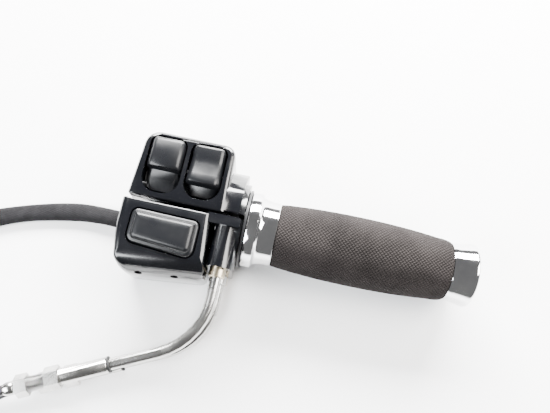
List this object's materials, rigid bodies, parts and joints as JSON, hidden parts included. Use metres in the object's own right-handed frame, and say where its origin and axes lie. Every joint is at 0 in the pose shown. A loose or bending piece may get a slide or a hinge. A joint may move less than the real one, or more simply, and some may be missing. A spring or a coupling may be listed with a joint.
{
  "type": "motorcycle throttle grip",
  "caption": "Twist throttle with foam grip, chromed collar and cap, switch housing with rocker switches and push button, elbowed throttle cables and wiring sleeve.",
  "frame": {"origin": "middle of the footprint of everything but the free cords, on the surface that the housing's front lies on", "axes": "+X outboard along the handlebar towards the grip's end cap, +Z from the control's front to the rider, +Y up the motorcycle"},
  "size_m": [0.4149, 0.2015, 0.0524],
  "materials": {
    "black_enamel": "gloss",
    "switch_plastic": "satin",
    "chrome": "polished",
    "steel": "satin",
    "brass": "satin",
    "foam": "matte",
    "nylon": "satin",
    "rubber": "matte",
    "casing": "satin"
  },
  "bodies": {
    "control": {"upper_housing": "black_enamel", "lower_housing": "black_enamel", "clamp_screw_left": "steel", "clamp_screw_right": "steel", "start_switch_body": "nylon", "stop_switch_body": "nylon", "turn_switch_body": "nylon", "brake_lamp_switch_body": "nylon", "upper_switch_plate": "steel", "turn_switch_plate": "steel", "upper_plate_screw": "steel", "turn_plate_screw": "steel", "start_pivot_pin": "steel", "stop_pivot_pin": "steel", "start_return_spring": "steel", "turn_return_spring": "steel", "throttle_retaining_insert": "brass", "throttle_elbow": "steel", "throttle_inner_wire": "steel", "throttle_adjuster_seal": "rubber", "throttle_adjuster_sleeve": "steel", "throttle_adjuster_thread": "steel", "throttle_casing_ferrule": "steel", "throttle_casing": "casing", "throttle_casing_coil": "casing", "throttle_tip_ferrule": "steel", "idle_retaining_insert": "brass", "idle_elbow": "steel", "idle_inner_wire": "steel", "idle_adjuster_seal": "rubber", "idle_adjuster_sleeve": "steel", "idle_adjuster_thread": "steel", "idle_casing_ferrule": "steel", "idle_casing": "casing", "idle_casing_coil": "casing", "idle_tip_ferrule": "steel", "harness_grommet": "rubber", "harness_sleeve": "casing", "harness_coil": "casing", "harness_tail": "casing", "harness_connector": "nylon"},
    "twist_grip": {"throttle_sleeve": "nylon", "grip_collar": "chrome", "foam_grip": "foam", "end_cap": "chrome", "throttle_cable_barrel": "brass", "idle_cable_barrel": "brass"},
    "start_button": {"start_rocker": "switch_plastic"},
    "stop_switch": {"stop_rocker": "switch_plastic"},
    "turn_signal_button": {"turn_button": "switch_plastic"},
    "brake_plunger": {"brake_lamp_plunger": "brass"},
    "drag_screw": {"friction_screw": "steel"},
    "drag_shoe": {"friction_shoe": "nylon"},
    "throttle_nut": {"throttle_jam_nut": "steel"},
    "idle_nut": {"idle_jam_nut": "steel"},
    "throttle_tip": {"throttle_wire_tip": "brass"},
    "idle_tip": {"idle_wire_tip": "brass"}
  },
  "joints": [
    {"name": "throttle_twist", "type": "hinge", "parent": "control", "child": "twist_grip", "pos_m": [-0.01642, 0.03599, 0.022], "axis": [1, 0, 0], "range_deg": [0, 75]},
    {"name": "start_button_press", "type": "hinge", "parent": "control", "child": "start_button", "pos_m": [-0.06402, 0.04459, 0.0426], "axis": [-1, 0, 0], "range_deg": [0, 6.5], "stiffness_Nm_per_rad": 0.25, "springref_deg": -5.73, "deforming": ["start_return_spring"]},
    {"name": "stop_switch_rock", "type": "hinge", "parent": "control", "child": "stop_switch", "pos_m": [-0.04212, 0.05599, 0.0414], "axis": [1, 0, 0], "range_deg": [0, 10]},
    {"name": "turn_button_press", "type": "slide", "parent": "control", "child": "turn_signal_button", "axis": [0, 0, -1], "range_m": [0, 0.002], "stiffness_N_per_m": 600, "springref_m": -0.002, "deforming": ["turn_return_spring"]},
    {"name": "brake_plunger_slide", "type": "slide", "parent": "control", "child": "brake_plunger", "axis": [-1, 0, 0], "range_m": [0, 0.003], "stiffness_N_per_m": 400, "springref_m": -0.002},
    {"name": "drag_screw_turn", "type": "hinge", "parent": "control", "child": "drag_screw", "pos_m": [-0.02482, 0.00599, 0.022], "axis": [0, 1, 0], "range_deg": [0, 225]},
    {"name": "drag_shoe_slide", "type": "slide", "parent": "control", "child": "drag_shoe", "axis": [0, 1, 0], "range_m": [0, 0.0005]},
    {"name": "throttle_nut_slide", "type": "slide", "parent": "control", "child": "throttle_nut", "axis": [0.9063, 0.4226, 0], "range_m": [0, 0.008]},
    {"name": "idle_nut_slide", "type": "slide", "parent": "control", "child": "idle_nut", "axis": [0.9063, 0.4226, 0], "range_m": [0, 0.008]},
    {"name": "throttle_wire_slide", "type": "slide", "parent": "control", "child": "throttle_tip", "axis": [-0.9397, -0.342, 0], "range_m": [-0.0211, 0]},
    {"name": "idle_wire_slide", "type": "slide", "parent": "control", "child": "idle_tip", "axis": [-0.9397, -0.342, 0], "range_m": [0, 0.0211]}
  ],
  "couplings": [
    {"joint": "throttle_wire_slide", "follows": "throttle_twist", "m_per_rad": -0.01605},
    {"joint": "idle_wire_slide", "follows": "throttle_twist", "m_per_rad": 0.01605}
  ]
}
